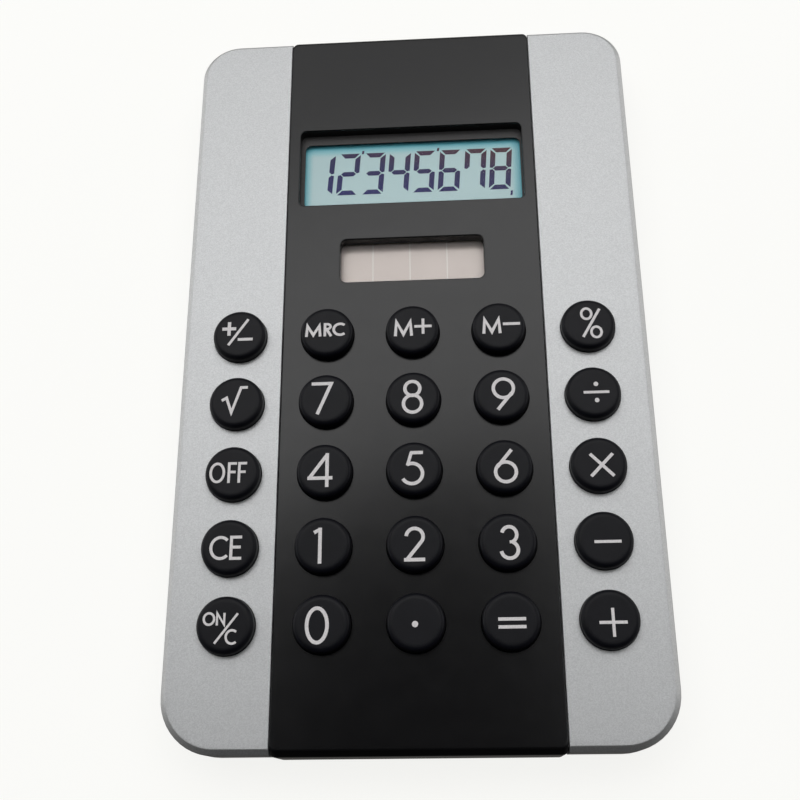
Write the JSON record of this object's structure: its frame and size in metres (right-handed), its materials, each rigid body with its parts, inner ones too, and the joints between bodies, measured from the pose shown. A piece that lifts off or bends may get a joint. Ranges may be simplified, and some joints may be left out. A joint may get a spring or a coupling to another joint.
{
  "type": "pocket calculator",
  "caption": "Flat pocket calculator with silver side wings, a black strip wrapped over both ends, round keys, a display window and a solar cell window.",
  "frame": {"origin": "middle of the footprint, on the plane that the four feet rest on", "axes": "+Z out of the keys' face, +Y towards the display end, +X to the right as the keys are read"},
  "size_m": [0.07, 0.1158, 0.0108],
  "materials": {
    "silver_case": "satin silver paint with a fine metallic grain",
    "black_fascia": "smooth satin black",
    "dark_case": "fine spark-eroded grain",
    "key_rubber": "soft-touch black with white printed legends",
    "silicone": "matt",
    "board": "phenolic board with printed tracks",
    "chip_resin": "glossy resin blob",
    "display_mask": "dark grey print",
    "clear_window": "clear acrylic",
    "display_film": "grey-cyan polarising film",
    "display_glass": "clear",
    "display_reflector": "pearly reflector foil",
    "solar_glass": "dark amorphous silicon on glass with thin dividing lines",
    "lead_red": "vinyl insulation",
    "lead_black": "vinyl insulation",
    "cell_steel": "nickel-plated",
    "contact_steel": "plated spring strip",
    "screw_steel": "zinc-plated",
    "foot_rubber": "matt rubber"
  },
  "bodies": {
    "housing": {"front_case": "silver_case", "centre_fascia": "black_fascia", "rear_case": "dark_case", "keypad_dome_sheet": "silicone", "circuit_board": "board", "processor_chip": "chip_resin", "display_mask": "display_mask", "display_lens": "clear_window", "display_polariser": "display_film", "display_front_glass": "display_glass", "display_rear_glass": "display_glass", "display_reflector": "display_reflector", "display_connector_strip": "silicone", "display_frame": "dark_case", "solar_window": "clear_window", "solar_cell": "solar_glass", "solar_lead_red": "lead_red", "solar_lead_black": "lead_black", "button_cell": "cell_steel", "battery_contact_negative": "contact_steel", "battery_contact_positive": "contact_steel", "case_screw_1": "screw_steel", "board_screw_1": "screw_steel", "rubber_foot_1": "foot_rubber", "case_screw_2": "screw_steel", "board_screw_2": "screw_steel", "rubber_foot_2": "foot_rubber", "case_screw_3": "screw_steel", "board_screw_3": "screw_steel", "rubber_foot_3": "foot_rubber", "case_screw_4": "screw_steel", "board_screw_4": "screw_steel", "rubber_foot_4": "foot_rubber"},
    "battery_door": {"battery_door": "dark_case"},
    "key_sign": {"key_sign": "key_rubber"},
    "key_memory_recall": {"key_memory_recall": "key_rubber"},
    "key_memory_plus": {"key_memory_plus": "key_rubber"},
    "key_memory_minus": {"key_memory_minus": "key_rubber"},
    "key_percent": {"key_percent": "key_rubber"},
    "key_root": {"key_root": "key_rubber"},
    "key_7": {"key_7": "key_rubber"},
    "key_8": {"key_8": "key_rubber"},
    "key_9": {"key_9": "key_rubber"},
    "key_divide": {"key_divide": "key_rubber"},
    "key_off": {"key_off": "key_rubber"},
    "key_4": {"key_4": "key_rubber"},
    "key_5": {"key_5": "key_rubber"},
    "key_6": {"key_6": "key_rubber"},
    "key_multiply": {"key_multiply": "key_rubber"},
    "key_clear_entry": {"key_clear_entry": "key_rubber"},
    "key_1": {"key_1": "key_rubber"},
    "key_2": {"key_2": "key_rubber"},
    "key_3": {"key_3": "key_rubber"},
    "key_subtract": {"key_subtract": "key_rubber"},
    "key_on_clear": {"key_on_clear": "key_rubber"},
    "key_0": {"key_0": "key_rubber"},
    "key_point": {"key_point": "key_rubber"},
    "key_equals": {"key_equals": "key_rubber"},
    "key_add": {"key_add": "key_rubber"}
  },
  "joints": [
    {"name": "battery_door_slide", "type": "slide", "parent": "housing", "child": "battery_door", "axis": [1, 0, 0], "range_m": [0, 0.016]},
    {"name": "key_sign_press", "type": "slide", "parent": "housing", "child": "key_sign", "axis": [0, 0, -1], "range_m": [0, 0.0009], "stiffness_N_per_m": 500, "springref_m": -0.0004},
    {"name": "key_memory_recall_press", "type": "slide", "parent": "housing", "child": "key_memory_recall", "axis": [0, 0, -1], "range_m": [0, 0.0009], "stiffness_N_per_m": 500, "springref_m": -0.0004},
    {"name": "key_memory_plus_press", "type": "slide", "parent": "housing", "child": "key_memory_plus", "axis": [0, 0, -1], "range_m": [0, 0.0009], "stiffness_N_per_m": 500, "springref_m": -0.0004},
    {"name": "key_memory_minus_press", "type": "slide", "parent": "housing", "child": "key_memory_minus", "axis": [0, 0, -1], "range_m": [0, 0.0009], "stiffness_N_per_m": 500, "springref_m": -0.0004},
    {"name": "key_percent_press", "type": "slide", "parent": "housing", "child": "key_percent", "axis": [0, 0, -1], "range_m": [0, 0.0009], "stiffness_N_per_m": 500, "springref_m": -0.0004},
    {"name": "key_root_press", "type": "slide", "parent": "housing", "child": "key_root", "axis": [0, 0, -1], "range_m": [0, 0.0009], "stiffness_N_per_m": 500, "springref_m": -0.0004},
    {"name": "key_7_press", "type": "slide", "parent": "housing", "child": "key_7", "axis": [0, 0, -1], "range_m": [0, 0.0009], "stiffness_N_per_m": 500, "springref_m": -0.0004},
    {"name": "key_8_press", "type": "slide", "parent": "housing", "child": "key_8", "axis": [0, 0, -1], "range_m": [0, 0.0009], "stiffness_N_per_m": 500, "springref_m": -0.0004},
    {"name": "key_9_press", "type": "slide", "parent": "housing", "child": "key_9", "axis": [0, 0, -1], "range_m": [0, 0.0009], "stiffness_N_per_m": 500, "springref_m": -0.0004},
    {"name": "key_divide_press", "type": "slide", "parent": "housing", "child": "key_divide", "axis": [0, 0, -1], "range_m": [0, 0.0009], "stiffness_N_per_m": 500, "springref_m": -0.0004},
    {"name": "key_off_press", "type": "slide", "parent": "housing", "child": "key_off", "axis": [0, 0, -1], "range_m": [0, 0.0009], "stiffness_N_per_m": 500, "springref_m": -0.0004},
    {"name": "key_4_press", "type": "slide", "parent": "housing", "child": "key_4", "axis": [0, 0, -1], "range_m": [0, 0.0009], "stiffness_N_per_m": 500, "springref_m": -0.0004},
    {"name": "key_5_press", "type": "slide", "parent": "housing", "child": "key_5", "axis": [0, 0, -1], "range_m": [0, 0.0009], "stiffness_N_per_m": 500, "springref_m": -0.0004},
    {"name": "key_6_press", "type": "slide", "parent": "housing", "child": "key_6", "axis": [0, 0, -1], "range_m": [0, 0.0009], "stiffness_N_per_m": 500, "springref_m": -0.0004},
    {"name": "key_multiply_press", "type": "slide", "parent": "housing", "child": "key_multiply", "axis": [0, 0, -1], "range_m": [0, 0.0009], "stiffness_N_per_m": 500, "springref_m": -0.0004},
    {"name": "key_clear_entry_press", "type": "slide", "parent": "housing", "child": "key_clear_entry", "axis": [0, 0, -1], "range_m": [0, 0.0009], "stiffness_N_per_m": 500, "springref_m": -0.0004},
    {"name": "key_1_press", "type": "slide", "parent": "housing", "child": "key_1", "axis": [0, 0, -1], "range_m": [0, 0.0009], "stiffness_N_per_m": 500, "springref_m": -0.0004},
    {"name": "key_2_press", "type": "slide", "parent": "housing", "child": "key_2", "axis": [0, 0, -1], "range_m": [0, 0.0009], "stiffness_N_per_m": 500, "springref_m": -0.0004},
    {"name": "key_3_press", "type": "slide", "parent": "housing", "child": "key_3", "axis": [0, 0, -1], "range_m": [0, 0.0009], "stiffness_N_per_m": 500, "springref_m": -0.0004},
    {"name": "key_subtract_press", "type": "slide", "parent": "housing", "child": "key_subtract", "axis": [0, 0, -1], "range_m": [0, 0.0009], "stiffness_N_per_m": 500, "springref_m": -0.0004},
    {"name": "key_on_clear_press", "type": "slide", "parent": "housing", "child": "key_on_clear", "axis": [0, 0, -1], "range_m": [0, 0.0009], "stiffness_N_per_m": 500, "springref_m": -0.0004},
    {"name": "key_0_press", "type": "slide", "parent": "housing", "child": "key_0", "axis": [0, 0, -1], "range_m": [0, 0.0009], "stiffness_N_per_m": 500, "springref_m": -0.0004},
    {"name": "key_point_press", "type": "slide", "parent": "housing", "child": "key_point", "axis": [0, 0, -1], "range_m": [0, 0.0009], "stiffness_N_per_m": 500, "springref_m": -0.0004},
    {"name": "key_equals_press", "type": "slide", "parent": "housing", "child": "key_equals", "axis": [0, 0, -1], "range_m": [0, 0.0009], "stiffness_N_per_m": 500, "springref_m": -0.0004},
    {"name": "key_add_press", "type": "slide", "parent": "housing", "child": "key_add", "axis": [0, 0, -1], "range_m": [0, 0.0009], "stiffness_N_per_m": 500, "springref_m": -0.0004}
  ]
}
